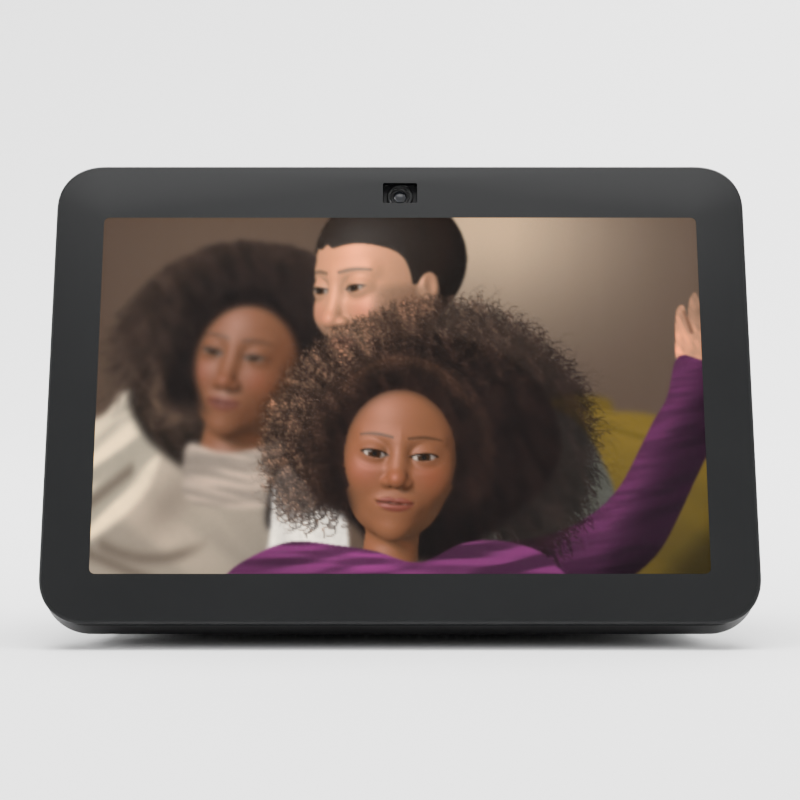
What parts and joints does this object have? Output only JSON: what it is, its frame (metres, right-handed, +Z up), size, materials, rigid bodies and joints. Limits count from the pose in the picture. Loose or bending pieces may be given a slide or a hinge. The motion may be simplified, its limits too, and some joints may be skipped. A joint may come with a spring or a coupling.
{
  "type": "smart display",
  "caption": "Tabletop smart display: a charcoal glass-fronted slab with a lit wide screen, leaning back on a fabric-covered speaker body.",
  "frame": {"origin": "centre of the object's footprint box, on the table", "axes": "+Z up, the glass faces -Y, +X to the viewer's right as the glass is looked at"},
  "size_m": [0.2, 0.106, 0.1352],
  "materials": {
    "border_glass": "polished",
    "black_film": "printed, gloss",
    "adhesive": "matt",
    "clear_glass": "polished",
    "screen_picture": "lit picture",
    "white_film": "satin",
    "acrylic": "polished",
    "led_yellow": "gloss",
    "tray_steel": "brushed",
    "circuit_board": "solder-mask gloss",
    "charcoal_plastic": "fine texture, satin",
    "inner_plastic": "fine texture, matt",
    "camera_black": "gloss",
    "lens_glass": "coated, polished",
    "shutter_white": "matt",
    "steel": "satin",
    "gold": "polished",
    "charcoal_knit": "knitted",
    "rubber_black": "matt",
    "magnet_steel": "zinc plated",
    "cone_paper": "pressed fibre",
    "radiator_aluminium": "satin",
    "chip_black": "matt",
    "connector_ivory": "satin",
    "shield_tin": "tinned",
    "pad_blue": "matt",
    "heat_sink_aluminium": "extruded",
    "flex_amber": "satin",
    "wire_red": "satin",
    "wire_yellow": "satin"
  },
  "bodies": {
    "display": {"cover_glass": "border_glass", "bezel_film": "black_film", "glass_adhesive": "adhesive", "touch_sensor": "clear_glass", "lcd_cell": "screen_picture", "optical_films": "white_film", "light_guide": "acrylic", "led_bar": "led_yellow", "backlight_tray": "tray_steel", "display_board": "circuit_board", "slab_frame": "charcoal_plastic", "camera_housing": "camera_black", "camera_lens": "lens_glass", "camera_board": "circuit_board", "button_board": "circuit_board", "button_switches": "steel", "microphones": "gold", "microphone_boards": "circuit_board", "rear_shell": "inner_plastic", "fabric_sleeve": "charcoal_knit", "base_plate": "charcoal_plastic", "rubber_foot": "rubber_black", "speaker_enclosure": "inner_plastic", "left_speaker_basket": "inner_plastic", "left_speaker_motor": "magnet_steel", "left_speaker_surround": "rubber_black", "right_speaker_basket": "inner_plastic", "right_speaker_motor": "magnet_steel", "right_speaker_surround": "rubber_black", "radiator_frame": "inner_plastic", "radiator_surround": "rubber_black", "main_board": "circuit_board", "main_board_chips": "chip_black", "board_connectors": "connector_ivory", "rf_shield": "shield_tin", "thermal_pad": "pad_blue", "heat_sink": "heat_sink_aluminium", "wifi_antennas": "gold", "power_jack": "camera_black", "power_jack_contacts": "steel", "jack_bezel": "charcoal_plastic", "jack_board": "circuit_board", "display_flex": "flex_amber", "camera_flex": "flex_amber", "speaker_leads": "wire_red", "power_leads": "wire_yellow", "slab_screws": "steel", "board_screws": "steel", "enclosure_screws": "steel", "base_screws": "steel", "driver_screws": "steel"},
    "volume_down": {"volume_down_button": "charcoal_plastic"},
    "volume_up": {"volume_up_button": "charcoal_plastic"},
    "mute": {"mute_button": "charcoal_plastic"},
    "shutter": {"shutter_blade": "shutter_white", "shutter_knob": "charcoal_plastic"},
    "left_cone": {"left_speaker_cone": "cone_paper"},
    "right_cone": {"right_speaker_cone": "cone_paper"},
    "radiator": {"radiator_plate": "radiator_aluminium"}
  },
  "joints": [
    {"name": "volume_down_press", "type": "slide", "parent": "display", "child": "volume_down", "axis": [0, -0.3746, -0.9272], "range_m": [0, 0.0004], "stiffness_N_per_m": 2000},
    {"name": "volume_up_press", "type": "slide", "parent": "display", "child": "volume_up", "axis": [0, -0.3746, -0.9272], "range_m": [0, 0.0004], "stiffness_N_per_m": 2000},
    {"name": "mute_press", "type": "slide", "parent": "display", "child": "mute", "axis": [0, -0.3746, -0.9272], "range_m": [0, 0.0004], "stiffness_N_per_m": 2000},
    {"name": "shutter_slide", "type": "slide", "parent": "display", "child": "shutter", "axis": [-1, 0, 0], "range_m": [0, 0.012]},
    {"name": "left_cone_move", "type": "slide", "parent": "display", "child": "left_cone", "axis": [-1, 0, 0], "range_m": [-0.002, 0.002], "stiffness_N_per_m": 1000, "deforming": ["left_speaker_surround"]},
    {"name": "right_cone_move", "type": "slide", "parent": "display", "child": "right_cone", "axis": [1, 0, 0], "range_m": [-0.002, 0.002], "stiffness_N_per_m": 1000, "deforming": ["right_speaker_surround"]},
    {"name": "radiator_move", "type": "slide", "parent": "display", "child": "radiator", "axis": [0, 1, 0], "range_m": [-0.003, 0.003], "stiffness_N_per_m": 1000, "deforming": ["radiator_surround"]}
  ]
}
